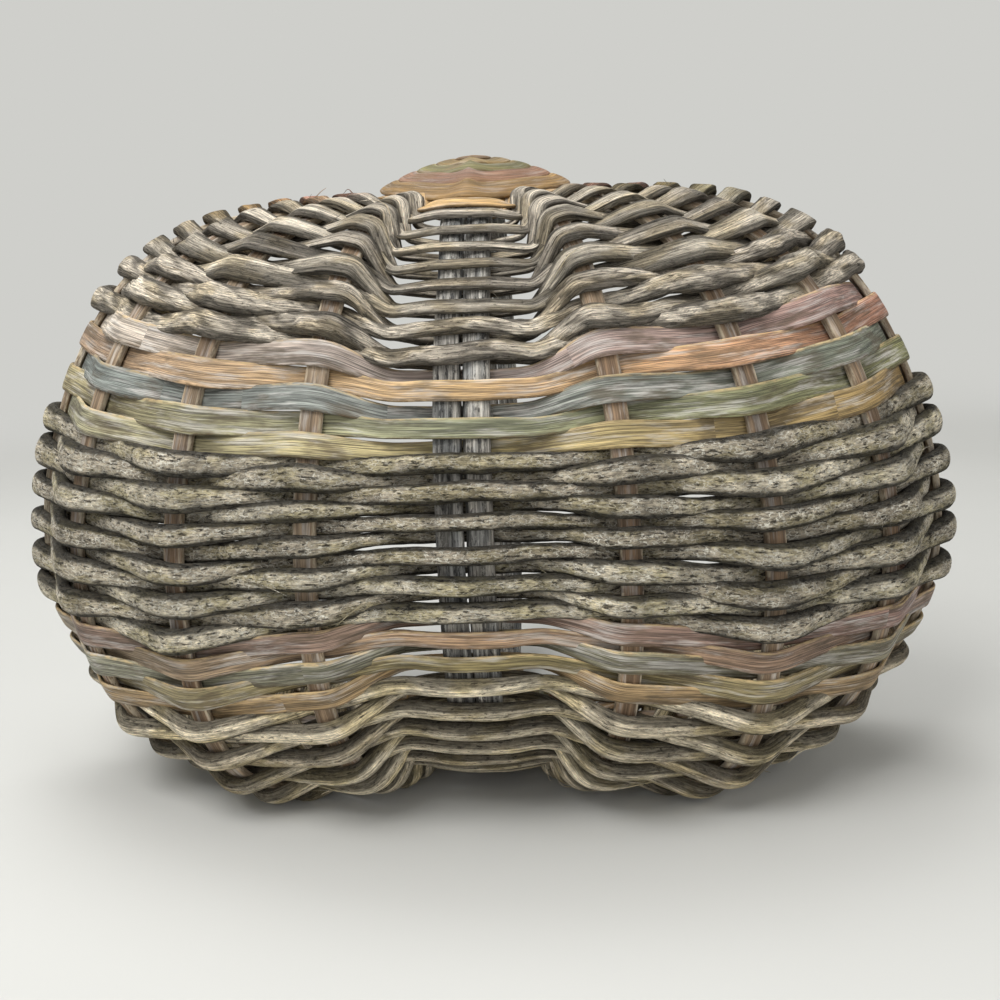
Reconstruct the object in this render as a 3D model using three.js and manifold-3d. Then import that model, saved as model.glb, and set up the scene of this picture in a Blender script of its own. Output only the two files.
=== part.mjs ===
// Twin-lobed egg basket: two bent hoop rods and a rim hoop crossed at right angles, lashed where
// they cross, eight split ribs tucked into the lashings, and rows of vine and split reed woven over
// and under the ribs and turned round the rim.
// Millimetres, +Z up. The basket stands on its end, as it does on a table when its underside is
// shown: the lashed crossings are at the top and the bottom, the underside faces -Y, the mouth and
// the handle face +Y. X is the width. The origin is on the floor, below the middle of the whole.
import * as THREE from "three";
import { mergeVertices } from "three/addons/utils/BufferGeometryUtils.js";
import Module from "manifold-3d";

const wasm = await Module();
wasm.setup();

// Frame
const crownRadius = 121; // middle of the basket to the upper crossing, in the middle of the hoop rods
const footRadius = 111.5; // the same for the lower crossing, flattened where the basket stands
const spineDepth = 124; // rim plane to the spine, on the underside
const rimReach = 151; // half the width of the mouth
const handleRise = 128; // rim plane to the middle of the grip
const fullness = 0.52; // how square the ribs and the rim run: 1 is an ellipse, less is squarer
const hoopFullness = 1; // the same for the spine and the handle, a plain bent hoop
const bellyDrop = 0.1; // how much fuller the lower half is than the middle
const spineFoot = 6; // how far the spine swells past a plain hoop, near its lower end

const hoopWidth = 9.2;
const hoopThickness = 6;
const hoopSpacing = 10; // between the middles of the two hoop rods
const rimWidth = 9;
const rimThickness = 5;

// Ribs of one side, from the spine to the rim: the turn from the spine round the line through the
// crossings, the greatest reach from that line, and the swell of the upper and of the lower end.
// The two beside the rim belly out past it by their flare.
const firstRibReach = 132;
const secondRibReach = 148;
const thirdRibFlare = 18;
const fourthRibFlare = 31;
const firstRibCrown = 4;
const secondRibCrown = 5;
const thirdRibCrown = 5;
const fourthRibCrown = 8;
const firstRibFoot = 5;
const secondRibFoot = 17;
const thirdRibFoot = 9;
const fourthRibFoot = 0;
const ribs = [
  { angle: 24.5, reach: firstRibReach, crown: firstRibCrown, foot: firstRibFoot },
  { angle: 45, reach: secondRibReach, crown: secondRibCrown, foot: secondRibFoot },
  { angle: 63, reach: rimReach + thirdRibFlare, crown: thirdRibCrown, foot: thirdRibFoot },
  { angle: 79, reach: rimReach + fourthRibFlare, crown: fourthRibCrown, foot: fourthRibFoot },
];
const ribWidth = 8;
const ribThickness = 3;
const ribTipWidth = 2;
const ribTaper = 85; // length of the whittled end

// Weaving, from the lower crossing to the upper one. The pitches share the woven length out between
// the rows, and each row fills its share but for the daylight between neighbours.
const reedThickness = 1.6;
const reedWidest = 7.6;
const reedDaylight = 1.2;
const vineThickness = 4.4;
const vineWidest = 6.2;
const vineDaylight = 1.4;
const eyeReedPitch = 6.5;
const bottomVinePitch = 7;
const lowerReedPitch = 5.8;
const middleVinePitch = 6.2;
const upperReedPitch = 8.5;
const topVinePitch = 5.9;
const reed = { thickness: reedThickness, widest: reedWidest, daylight: reedDaylight };
const vine = { thickness: vineThickness, widest: vineWidest, daylight: vineDaylight };
const ochre = 0xa8803f;
const bark = 0x7b7468;
const bands = [
  {
    name: "bottom_eye_reed",
    strand: reed,
    rows: 2,
    pitch: eyeReedPitch,
    rowsEach: 2,
    colours: [ochre],
  },
  {
    name: "bottom_vine",
    strand: vine,
    rows: 16,
    pitch: bottomVinePitch,
    rowsEach: 2,
    colours: [0x858067, bark],
  },
  {
    name: "lower_reed",
    strand: reed,
    rows: 5,
    pitch: lowerReedPitch,
    rowsEach: 1,
    colours: [0xa8804f, 0x8f8a58, 0x7f8464, 0x93735c, 0x94705f],
  },
  {
    name: "middle_vine",
    strand: vine,
    rows: 11,
    pitch: middleVinePitch,
    rowsEach: 2,
    colours: [bark, 0x6f6b60],
  },
  {
    name: "upper_reed",
    strand: reed,
    rows: 5,
    pitch: upperReedPitch,
    rowsEach: 1,
    colours: [0xa08a4c, 0x858a5c, 0x6f7d7b, 0xa8785a, 0x8c7470],
  },
  {
    name: "top_vine",
    strand: vine,
    rows: 16,
    pitch: topVinePitch,
    rowsEach: 2,
    colours: [bark, 0x827b6b],
  },
  {
    name: "top_eye_reed",
    strand: reed,
    rows: 2,
    pitch: eyeReedPitch,
    rowsEach: 2,
    colours: [ochre],
  },
];
const lowerSag = 0.008; // how far the lower rows sink at the spine, as a share of the way

// Lashing of a crossing
const lashReach = 40; // middle of the crossing to a corner of the diamond
const lashThickness = 2; // one layer of the wrapped reed
const lashSteps = 6; // bands of the diamond
const lashStep = 0.8; // how much higher a band of the upper one lies than the band outside it
const lashBandStart = 14; // where the wrap round each arm starts, from the crossing
const lashBandWidth = 8;
const lashMargin = 8; // diamond to the first row

const seatGap = 0.4; // clearance between pieces that bear on each other
const cleftTurn = 0.25; // radians: where a rib turns further than this from the spine, the rows sag
const footFlat = 0.5; // depth of the flats worn where it stands
const handleRings = 17; // sections of a hoop rod along the handle, odd so that the grip is flat

const quarterTurn = Math.PI / 2;
const halfPair = hoopSpacing / 2 + hoopWidth / 2;

// A rib, hoop or half rim: from the lower crossing to the upper one, in a half-plane through both
class Meridian extends THREE.Curve {
  constructor({ angle, reach, ends, crown = 0, foot = 0, drop = bellyDrop, full = fullness }) {
    super();
    this.angle = THREE.MathUtils.degToRad(angle);
    Object.assign(this, { reach, ends, crown, foot, drop, full });
    this.arcLengthDivisions = 900;
  }
  getPoint(t, target = new THREE.Vector3()) {
    const turn = Math.PI * (t - 0.5);
    const out = this.reach * Math.max(Math.cos(turn), 0) ** this.full * (1 - this.drop * Math.sin(turn));
    const end = turn > 0 ? this.ends.crown : this.ends.foot;
    const swell = turn > 0 ? this.crown : -this.foot;
    const up = end * Math.sin(turn) + swell * Math.sin(2 * turn) ** 2;
    return target.set(out * Math.sin(this.angle), -out * Math.cos(this.angle), up);
  }
  // Points beside both crossings, where the lashing holds the arm
  heldPoints() {
    const share = (lashBandStart + lashBandWidth + seatGap) / this.getLength();
    return { foot: this.getPointAt(share), crown: this.getPointAt(1 - share) };
  }
}

// Row boundaries, as shares of the way between the two lashings, and the strands of each band.
// Members bend at the knots, after every second row, so that no row lies across a bend.
const rowEdges = [0];
const knots = [0];
const strands = [];
const wovenLength = bands.reduce((sum, band) => sum + band.rows * band.pitch, 0);
for (const band of bands) {
  for (let i = 0; i < band.rows; i++) {
    if (i % band.rowsEach === 0) strands.push({ band, number: i / band.rowsEach + 1, rows: [] });
    strands.at(-1).rows.push(rowEdges.length - 1);
    rowEdges.push(rowEdges.at(-1) + band.pitch / wovenLength);
    if (i % 2 === 1 || i === band.rows - 1) knots.push(rowEdges.at(-1));
  }
}

// At the spine the lower rows sag towards the lower crossing
function spineShare(f) {
  const middle = 0.49;
  if (f > middle) return f;
  return f - lowerSag * Math.sin((Math.PI * (middle - f)) / middle);
}

// Where a rib's whittled tip ends: clear of the hoops, the rim and the wraps round them
function tipRadius(angle) {
  const wall = lashThickness + 2 * seatGap;
  const clearOf = (half, away) => {
    const besideWrap = (half + wall + ribTipWidth / 2 + seatGap) / Math.sin(away);
    const besideArm = (half + ribTipWidth / 2 + seatGap) / Math.sin(away);
    const pastWrap = (lashBandStart + lashBandWidth + ribTipWidth / 2 + seatGap) / Math.cos(away);
    return Math.min(besideWrap, Math.max(besideArm, pastWrap));
  };
  return Math.max(clearOf(halfPair, angle), clearOf(rimWidth / 2, quarterTurn - angle));
}

// A member that the rows cross. Its centre line runs straight between knots.
class Member {
  constructor({ curve, side = 1, thickness, widthAt, share = (f) => f }) {
    Object.assign(this, { curve, side, thickness, widthAt });
    const length = curve.getLength();
    const start = lashReach / (Math.cos(curve.angle) + Math.sin(curve.angle)) + lashMargin;
    this.length = length;
    this.distances = knots.map((f) => start + share(f) * (length - 2 * start));
    this.points = this.distances.map((d) => this.pointAtDistance(d));
  }
  pointAtDistance(d) {
    const p = this.curve.getPointAt(d / this.length);
    p.x *= this.side;
    return p;
  }
  segment(f) {
    const i = Math.max(0, Math.min(knots.length - 2, knots.findLastIndex((k) => k <= f + 1e-9)));
    return { i, t: (f - knots[i]) / (knots[i + 1] - knots[i]) };
  }
  at(f) {
    const { i, t } = this.segment(f);
    return this.points[i].clone().lerp(this.points[i + 1], t);
  }
  along(f) {
    const { i } = this.segment(f);
    return this.points[i + 1].clone().sub(this.points[i]).normalize();
  }
  width(f) {
    const { i, t } = this.segment(f);
    return this.widthAt(THREE.MathUtils.lerp(this.distances[i], this.distances[i + 1], t), this.length);
  }
}

function ribWidthAt(tip) {
  return (d, length) => {
    const fromTip = Math.max(0, Math.min(d, length - d) - tip);
    return THREE.MathUtils.lerp(ribTipWidth, ribWidth, THREE.MathUtils.smoothstep(fromTip, 0, ribTaper));
  };
}

// The rods run straight across a crossing. The rim lies inside them, and the ribs start level with
// the rim at the upper crossing, with the rods at the lower one.
const hoop = { ends: { crown: crownRadius, foot: footRadius }, full: hoopFullness };
const handleCurve = new Meridian({ angle: 180, reach: handleRise, drop: 0, ...hoop });
const spineCurve = new Meridian({ angle: 0, reach: spineDepth, foot: spineFoot, ...hoop });
const heldLevel = (end, curves) => Math.min(...curves.map((curve) => Math.abs(curve.heldPoints()[end].z)));
const rodCrown = heldLevel("crown", [handleCurve, spineCurve]);
const rodFoot = heldLevel("foot", [handleCurve, spineCurve]);
const rimStep = hoopThickness / 2 + seatGap + rimThickness / 2;
const rimEnds = { crown: rodCrown - rimStep, foot: rodFoot - rimStep };
const ribEnds = { crown: rodCrown - rimStep, foot: rodFoot };
const rimCurve = new Meridian({ angle: 90, reach: rimReach, ends: rimEnds });
const rimMember = (side) =>
  new Member({ curve: rimCurve, side, thickness: rimThickness, widthAt: () => rimWidth });
const ribMember = (rib, side) => {
  const curve = new Meridian({ ends: ribEnds, ...rib });
  const tip = tipRadius(curve.angle);
  return Object.assign(
    new Member({ curve, side, thickness: ribThickness, widthAt: ribWidthAt(tip) }),
    { tip },
  );
};
const spine = new Member({
  curve: spineCurve,
  thickness: hoopThickness,
  widthAt: () => 2 * halfPair,
  share: spineShare,
});
const leftRibs = ribs.map((rib) => ribMember(rib, -1));
const rightRibs = ribs.map((rib) => ribMember(rib, 1));
const members = [rimMember(-1), ...leftRibs.toReversed(), spine, ...rightRibs, rimMember(1)];
const lastMember = members.length - 1;
const spineIndex = members.indexOf(spine);

// Directions at a crossing: up the member, along the row from left to right, and outwards
function frameAt(j, f) {
  const along = members[j].along(f);
  let across;
  if (j === 0) across = new THREE.Vector3(0, -1, 0);
  else if (j === lastMember) across = new THREE.Vector3(0, 1, 0);
  else across = members[j + 1].at(f).sub(members[j - 1].at(f));
  across.addScaledVector(along, -across.dot(along)).normalize();
  return { along, across, out: across.clone().cross(along).normalize() };
}

// Outline of a strand's section, as shares of its width and its thickness
function sectionOutline(sides) {
  const first = sides === 4 ? Math.PI / 4 : 0;
  const scale = sides === 4 ? Math.SQRT1_2 : 0.5;
  return Array.from({ length: sides }, (_, k) => {
    const turn = first + (2 * Math.PI * k) / sides;
    return [scale * Math.cos(turn), scale * Math.sin(turn)];
  });
}

function ring(centre, widthAxis, thicknessAxis, width, thickness, sides = 4) {
  return sectionOutline(sides).map(([a, b]) =>
    centre.clone().addScaledVector(widthAxis, a * width).addScaledVector(thicknessAxis, b * thickness),
  );
}

// A closed body through rings of equal count. A loop joins the last ring to the first.
function loft(rings, loop = false) {
  const sides = rings[0].length;
  const positions = rings.flat().flatMap((p) => p.toArray());
  const triangles = [];
  const spans = loop ? rings.length : rings.length - 1;
  for (let i = 0; i < spans; i++) {
    const here = i * sides;
    const next = ((i + 1) % rings.length) * sides;
    for (let k = 0; k < sides; k++) {
      const l = (k + 1) % sides;
      triangles.push(here + k, here + l, next + l, here + k, next + l, next + k);
    }
  }
  const end = (rings.length - 1) * sides;
  for (let k = 1; !loop && k < sides - 1; k++) {
    triangles.push(0, k + 1, k, end, end + k, end + k + 1);
  }
  const geometry = new THREE.BufferGeometry();
  geometry.setAttribute("position", new THREE.Float32BufferAttribute(positions, 3));
  geometry.setIndex(triangles);
  if (signedVolume(geometry) < 0) geometry.setIndex(triangles.toReversed());
  return geometry;
}

function signedVolume(geometry) {
  const position = geometry.getAttribute("position");
  const corner = [0, 1, 2].map(() => new THREE.Vector3());
  let volume = 0;
  for (let i = 0; i < geometry.index.count; i += 3) {
    corner.forEach((v, k) => v.fromBufferAttribute(position, geometry.index.getX(i + k)));
    volume += corner[0].dot(corner[1].clone().cross(corner[2])) / 6;
  }
  return volume;
}

function solidOf(geometry) {
  const bare = geometry.index ? geometry.clone() : mergeVertices(geometry);
  bare.deleteAttribute("normal");
  bare.deleteAttribute("uv");
  const merged = mergeVertices(bare, 1e-3);
  return new wasm.Manifold(
    new wasm.Mesh({
      numProp: 3,
      vertProperties: merged.getAttribute("position").array,
      triVerts: new Uint32Array(merged.index.array),
    }),
  );
}

function geometryOf(solid) {
  const mesh = solid.getMesh();
  const geometry = new THREE.BufferGeometry();
  geometry.setAttribute("position", new THREE.Float32BufferAttribute(mesh.vertProperties, 3));
  geometry.setIndex(Array.from(mesh.triVerts));
  return geometry;
}

// A row passes outside or inside the members by turns
const passes = (row, j) => ((row + j) % 2 === 0 ? 1 : -1);

// Strands: one or two rows, the second coming back from a turn round the rim
function strandGeometry({ band, rows }, turnsRight) {
  const { thickness, widest, daylight } = band.strand;
  const rings = [];
  const rowMiddle = (row) => (rowEdges[row] + rowEdges[row + 1]) / 2;
  const widthAt = (row, j) => {
    const room = members[j].at(rowEdges[row]).distanceTo(members[j].at(rowEdges[row + 1]));
    const along = members[j].along(rowMiddle(row));
    const neighbours = [row - 1, row + 1].filter((other) => other >= 0 && other < rowEdges.length - 1);
    const kinks = neighbours.map((other) => members[j].along(rowMiddle(other)).angleTo(along));
    return Math.min(widest, room - daylight - thickness * Math.tan(Math.max(...kinks) / 2));
  };
  const lift = (j) => members[j].thickness / 2 + seatGap + thickness / 2;
  const turnMember = turnsRight ? lastMember : 0;
  const outbound = turnsRight ? 1 : -1;

  const addRow = (row, direction, turnAtStart, turnAtEnd) => {
    const f = rowMiddle(row);
    const facing = passes(row, turnMember);
    let last = null;
    for (let step = 0; step <= lastMember; step++) {
      const j = direction > 0 ? step : lastMember - step;
      const { along, across, out } = frameAt(j, f);
      const half = members[j].width(f) / 2 + seatGap;
      const width = widthAt(row, j);
      const addRing = (at, up, outwards, wide) => {
        rings.push(ring(at, up, outwards.clone().multiplyScalar(facing), wide, thickness));
      };
      for (const edge of [-1, 1]) {
        const seat = members[j].at(f).addScaledVector(across, edge * direction * half);
        const beside = j === spineIndex || j - direction === spineIndex;
        if (edge < 0 && beside && last.out.angleTo(out) > cleftTurn) {
          const up = last.along.clone().add(along).normalize();
          const outwards = last.out.clone().add(out).normalize();
          addRing(last.seat.clone().lerp(seat, 0.5), up, outwards, (last.width + width) / 2);
        }
        last = { seat, along, out, width };
        if (turnAtStart && step === 0 && edge < 0) continue;
        if (turnAtEnd && step === lastMember && edge > 0) continue;
        addRing(seat.clone().addScaledVector(out, passes(row, j) * lift(j)), along, out, width);
      }
    }
  };

  const addTurn = (row, nextRow) => {
    const from = rowMiddle(row);
    const to = rowMiddle(nextRow);
    const facing = passes(row, turnMember);
    for (const turn of [0, Math.PI / 3, (2 * Math.PI) / 3, Math.PI]) {
      const f = THREE.MathUtils.lerp(from, to, turn / Math.PI);
      const { along, across, out } = frameAt(turnMember, f);
      const beyond = across.multiplyScalar(outbound);
      const side = out.multiplyScalar(facing * Math.cos(turn));
      const outward = side.clone().addScaledVector(beyond, Math.sin(turn));
      const centre = members[turnMember].at(f);
      centre.addScaledVector(side, members[turnMember].thickness / 2);
      centre.addScaledVector(beyond, members[turnMember].width(f) / 2);
      centre.addScaledVector(outward, seatGap + thickness / 2);
      rings.push(ring(centre, along, outward, widthAt(row, turnMember), thickness));
    }
  };

  const turning = rows.length > 1;
  addRow(rows[0], outbound, false, turning);
  if (turning) {
    addTurn(rows[0], rows[1]);
    addRow(rows[1], -outbound, true, false);
  }
  return loft(rings);
}

// Ribs: split staves that taper to tips inside the lashings
function ribGeometry(j) {
  const rib = members[j];
  const section = (centre, f, width) => {
    const { across, out } = frameAt(j, f);
    return ring(centre, across, out, width, ribThickness);
  };
  const rings = knots.map((f) => section(rib.at(f), f, rib.width(f)));
  rings.unshift(section(rib.pointAtDistance(rib.tip), 0, ribTipWidth));
  rings.push(section(rib.pointAtDistance(rib.length - rib.tip), 1, ribTipWidth));
  return loft(rings);
}

// Rim hoop: both halves of the mouth as one loop
function rimGeometry() {
  const held = rimCurve.heldPoints();
  const right = [held.foot, ...members[lastMember].points, held.crown];
  const left = right.toReversed().map((p) => new THREE.Vector3(-p.x, p.y, p.z));
  return loopGeometry([...right, ...left], rimWidth, rimThickness, new THREE.Vector3(0, 1, 0));
}

// A hoop of one section all round, lying in a plane square to the width axis
function loopGeometry(points, width, thickness, widthAxis, sides = 4) {
  const count = points.length;
  const rings = points.map((p, i) => {
    const before = points[(i + count - 1) % count];
    const after = points[(i + 1) % count];
    const direction = after.clone().sub(before).normalize();
    return ring(p, widthAxis, direction.cross(widthAxis).normalize(), width, thickness, sides);
  });
  return loft(rings, true);
}

// Hoop rods: spine below, handle above, side by side
function hoopGeometry(side) {
  const onSpine = spineCurve.heldPoints();
  const onHandle = handleCurve.heldPoints();
  const inset = handleCurve.getUtoTmapping((lashReach + lashMargin) / handleCurve.getLength());
  const overTheTop = Array.from({ length: handleRings + 1 }, (_, k) =>
    handleCurve.getPoint(1 - inset - ((1 - 2 * inset) * k) / handleRings),
  );
  const below = [onSpine.foot, ...spine.points, onSpine.crown];
  const points = [...below, onHandle.crown, ...overTheTop, onHandle.foot];
  const geometry = loopGeometry(points, hoopWidth, hoopThickness, new THREE.Vector3(1, 0, 0), 6);
  return geometry.translate((side * hoopSpacing) / 2, 0, 0);
}

// Level of the arms of a crossing at a distance from it. They are straight as far as the wraps.
function armLevel(end, r) {
  const away = Math.max(r, lashBandStart + lashBandWidth);
  const sign = end === "crown" ? 1 : -1;
  const points = [handleCurve, spineCurve].flatMap((curve) => curve.getPoints(curve.arcLengthDivisions));
  return Math.max(...points.filter((p) => Math.abs(p.y) >= away).map((p) => sign * p.z));
}

// Lashing: a diamond of wrapped reed, stepped band by band, that follows the arms down, and a wrap
// round each arm. It is built upwards from the middle of the basket.
function lashingGeometry(end, step) {
  const bearing = (r) => armLevel(end, r - halfPair) + hoopThickness / 2 + seatGap;
  const radii = Array.from({ length: lashSteps + 1 }, (_, i) => lashReach * (1 - i / lashSteps));
  const levels = radii.map(bearing);
  const profile = radii.map((r, i) => new THREE.Vector2(r, levels[i])).toReversed();
  for (let i = 0; i < lashSteps; i++) {
    const layer = lashThickness + i * step;
    profile.push(new THREE.Vector2(radii[i], levels[i] + layer));
    profile.push(new THREE.Vector2(radii[i + 1], levels[i + 1] + layer));
  }
  let lashing = solidOf(new THREE.LatheGeometry(profile, 4).rotateX(quarterTurn));
  const slab = (size, at) => solidOf(new THREE.BoxGeometry(...size).translate(...at));
  const wrap = (halfArm, thickness, arms, alongX) => {
    const half = halfArm + seatGap + lashThickness / 2;
    const low = heldLevel(end, arms) - thickness / 2 - seatGap - lashThickness;
    const high = bearing(lashBandStart + half) + lashThickness / 4;
    const tall = high - low;
    const middle = lashBandStart + lashBandWidth / 2;
    const place = (along, across, z) => (alongX ? [along, across, z] : [across, along, z]);
    for (const arm of [-middle, middle]) {
      for (const flank of [-half, half]) {
        const size = place(lashBandWidth, lashThickness, tall);
        lashing = lashing.add(slab(size, place(arm, flank, low + tall / 2)));
      }
      const size = place(lashBandWidth, 2 * half + lashThickness, lashThickness);
      lashing = lashing.add(slab(size, place(arm, 0, low + lashThickness / 2)));
    }
  };
  wrap(halfPair, hoopThickness, [spineCurve, handleCurve], false);
  wrap(rimWidth / 2, rimThickness, [rimCurve], true);
  return geometryOf(lashing);
}

// Assembly
const basket = new THREE.Group();
const finish = (color, roughness) => new THREE.MeshStandardMaterial({ color, roughness, metalness: 0 });
const stave = finish(0x80654e, 0.75);
const greyRod = finish(0x5c5850, 0.85);
const lashingReed = finish(ochre, 0.6);

function lowestPoint(meshes) {
  return Math.min(...meshes.map((mesh) => new THREE.Box3().setFromObject(mesh).min.z));
}

function addPiece(name, geometry, material) {
  const mesh = new THREE.Mesh(geometry, material);
  mesh.name = name;
  basket.add(mesh);
}

strands.forEach((strand, i) => {
  const { band, number } = strand;
  const many = band.rows > band.rowsEach;
  const colour = band.colours[(number - 1) % band.colours.length];
  addPiece(
    many ? `${band.name}_${number}` : band.name,
    strandGeometry(strand, i % 2 === 0),
    finish(colour, band.strand === vine ? 0.9 : 0.65),
  );
});
addPiece("rim_hoop", rimGeometry(), stave);
addPiece("handle_hoop_left", hoopGeometry(-1), greyRod);
addPiece("handle_hoop_right", hoopGeometry(1), greyRod);
ribs.forEach((_, i) => {
  addPiece(`rib_left_${i + 1}`, ribGeometry(spineIndex - 1 - i), stave);
  addPiece(`rib_right_${i + 1}`, ribGeometry(spineIndex + 1 + i), stave);
});
addPiece("top_eye_lashing", lashingGeometry("crown", lashStep), lashingReed);

// The lower lashing is as thick as brings it level with the lobes
const lobeLevel = -lowestPoint(basket.children);
const underRods = armLevel("foot", 0) + hoopThickness / 2 + seatGap + lashThickness;
const footStep = (lobeLevel - underRods) / (lashSteps - 1);
addPiece("bottom_eye_lashing", lashingGeometry("foot", footStep).rotateY(Math.PI), lashingReed);

// Floor: flats worn where the lobes and the lower lashing stand. The origin is on it, below the middle.
const floor = -lobeLevel + footFlat;
const middle = new THREE.Box3().setFromObject(basket).getCenter(new THREE.Vector3());
const slabSize = 4 * rimReach;
const slab = new THREE.BoxGeometry(slabSize, slabSize, slabSize).translate(0, 0, floor - slabSize / 2);
const below = solidOf(slab);
for (const mesh of basket.children) {
  if (lowestPoint([mesh]) < floor) mesh.geometry = geometryOf(solidOf(mesh.geometry).subtract(below));
  mesh.position.set(-middle.x, -middle.y, -floor);
}

export default basket;
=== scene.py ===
import math

import bpy
import numpy as np
from mathutils import Matrix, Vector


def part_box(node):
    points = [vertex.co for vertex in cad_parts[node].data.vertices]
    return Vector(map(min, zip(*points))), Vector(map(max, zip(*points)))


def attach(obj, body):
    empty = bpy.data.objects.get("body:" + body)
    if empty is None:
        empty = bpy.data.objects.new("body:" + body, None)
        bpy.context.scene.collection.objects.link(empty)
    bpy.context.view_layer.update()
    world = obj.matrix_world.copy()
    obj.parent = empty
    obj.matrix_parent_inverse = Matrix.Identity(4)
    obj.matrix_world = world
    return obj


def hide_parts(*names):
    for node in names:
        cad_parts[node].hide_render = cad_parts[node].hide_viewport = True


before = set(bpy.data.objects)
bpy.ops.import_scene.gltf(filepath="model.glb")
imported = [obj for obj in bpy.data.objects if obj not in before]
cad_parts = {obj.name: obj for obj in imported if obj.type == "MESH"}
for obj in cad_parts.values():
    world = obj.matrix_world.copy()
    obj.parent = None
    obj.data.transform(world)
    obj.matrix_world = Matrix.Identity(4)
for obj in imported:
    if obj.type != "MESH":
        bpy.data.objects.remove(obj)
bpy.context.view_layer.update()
eyeLow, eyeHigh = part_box("top_eye_lashing")

# the frame of the basket, in mm round its middle
basket = {
    "crownRadius": 121.0,
    "footRadius": 111.5,
    "spineDepth": 124.0,
    "rimReach": 151.0,
    "handleRise": 128.0,
    "fullness": 0.52,
    "hoopFullness": 1.0,
    "bellyDrop": 0.1,
    "spineFoot": 6.0,
    "hoopWidth": 9.2,
    "hoopThickness": 6.0,
    "hoopSpacing": 10.0,
    "rimWidth": 9.0,
    "rimThickness": 5.0,
    "ribWidth": 8.0,
    "ribThickness": 3.0,
    "ribTipWidth": 2.0,
    "ribTaper": 85.0,
    "lashReach": 40.0,
    "lashMargin": 8.0,
    "lashHeight": 6.0,  # rods to the middle of the upper eye
    "wrapEnd": 22.0,  # the rods are straight this far from a crossing
    "wrapWall": 2.0,
    "sagBelow": 0.49,  # share of the spine below which the rows sag
    "lowerSag": 0.008,
    "seatGap": 0.4,
    "samples": 1601,  # points on a line
    "gather": 1.7,  # how much they gather towards its ends
}
ribPlan = [  # turn, reach, upper and lower swell
    (24.5, 132.0, 4.0, 5.0), (45.0, 148.0, 5.0, 17.0), (63.0, 169.0, 5.0, 9.0), (79.0, 182.0, 8.0, 0.0),
]
halfPair = (basket["hoopSpacing"] + basket["hoopWidth"]) / 2
held = basket["wrapEnd"] + basket["seatGap"]


# small helpers
def unit(v):
    return v / np.maximum(np.linalg.norm(v, axis=-1, keepdims=True), 1e-9)


def smoothStep(x):
    x = np.clip(x, 0.0, 1.0)
    return x * x * (3.0 - 2.0 * x)


def linear(colour):
    c = np.array(colour, float) / 255.0
    return np.where(c <= 0.04045, c / 12.92, ((c + 0.055) / 1.055) ** 2.4)


def lattice(ix, iy, seed):
    n = (ix * 374761393 + iy * 668265263 + seed * 974634777) & 0xFFFFFFFF
    n = ((n ^ (n >> 13)) * 1274126177) & 0xFFFFFFFF
    return ((n ^ (n >> 16)) & 0xFFFF) / 65535.0


def chance(seed, k):
    return float(lattice(np.int64(seed), np.int64(k), 5))


def softNoise(x, y, seed, wrap=0):  # -1 to 1, y can wrap round a section
    x, y = np.broadcast_arrays(np.asarray(x, float), np.asarray(y, float))
    x0 = np.floor(x).astype(np.int64)
    y0 = np.floor(y).astype(np.int64)
    fx = smoothStep(x - x0)
    fy = smoothStep(y - y0)
    ya = y0 % wrap if wrap else y0
    yb = (y0 + 1) % wrap if wrap else y0 + 1
    low = lattice(x0, ya, seed) * (1 - fx) + lattice(x0 + 1, ya, seed) * fx
    high = lattice(x0, yb, seed) * (1 - fx) + lattice(x0 + 1, yb, seed) * fx
    return 2.0 * (low * (1 - fy) + high * fy) - 1.0


def drift(s, span, amount, seed):  # a factor that strays from 1 along a strand
    return 1.0 + amount * softNoise(s / span, 0.5, seed)


def lengthsAlong(points):
    return np.concatenate([[0.0], np.cumsum(np.linalg.norm(np.diff(points, axis=0), axis=1))])


def columnsAt(at, s, columns):  # every column, read off at these lengths
    return np.stack([np.interp(at, s, column) for column in columns.T], axis=-1)


# centre lines of the ribs, hoops and rim
def meridian(angle, reach, ends, swells, drop, full, side):
    t = np.linspace(-1.0, 1.0, basket["samples"])
    turn = 0.5 * math.pi * np.sign(t) * (1.0 - (1.0 - np.abs(t)) ** basket["gather"])
    out = reach * np.maximum(np.cos(turn), 0.0) ** full * (1.0 - drop * np.sin(turn))
    end = np.where(turn > 0, ends[0], ends[1])
    swell = np.where(turn > 0, swells[0], -swells[1])
    up = end * np.sin(turn) + swell * np.sin(2.0 * turn) ** 2
    a = math.radians(angle)
    points = np.stack([side * out * math.sin(a), -out * math.cos(a), up], axis=1)
    dist = lengthsAlong(points)
    return {"points": points, "dist": dist, "length": dist[-1], "angle": a}


def pointAt(line, d):
    return columnsAt(d, line["dist"], line["points"])


def ribTip(angle):  # where the whittled end stops inside the lashing
    wall = basket["wrapWall"] + 2.0 * basket["seatGap"]

    def clearOf(half, away):
        reach = basket["ribTipWidth"] / 2 + basket["seatGap"]
        besideWrap = (half + wall + reach) / math.sin(away)
        besideArm = (half + reach) / math.sin(away)
        pastWrap = (basket["wrapEnd"] + reach) / math.cos(away)
        return min(besideWrap, max(besideArm, pastWrap))

    return max(clearOf(halfPair, angle), clearOf(basket["rimWidth"] / 2, math.pi / 2 - angle))


def makeMember(line, thickness, kind):
    start = basket["lashReach"] / (math.cos(line["angle"]) + math.sin(line["angle"])) + basket["lashMargin"]
    return {"line": line, "thickness": thickness, "kind": kind, "start": start}


hoopEnds = (basket["crownRadius"], basket["footRadius"])
spineSwell = (0.0, basket["spineFoot"])
hoopFull = basket["hoopFullness"]
spineLine = meridian(0.0, basket["spineDepth"], hoopEnds, spineSwell, basket["bellyDrop"], hoopFull, 1)
handleLine = meridian(180.0, basket["handleRise"], hoopEnds, (0.0, 0.0), 0.0, hoopFull, 1)


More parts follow.
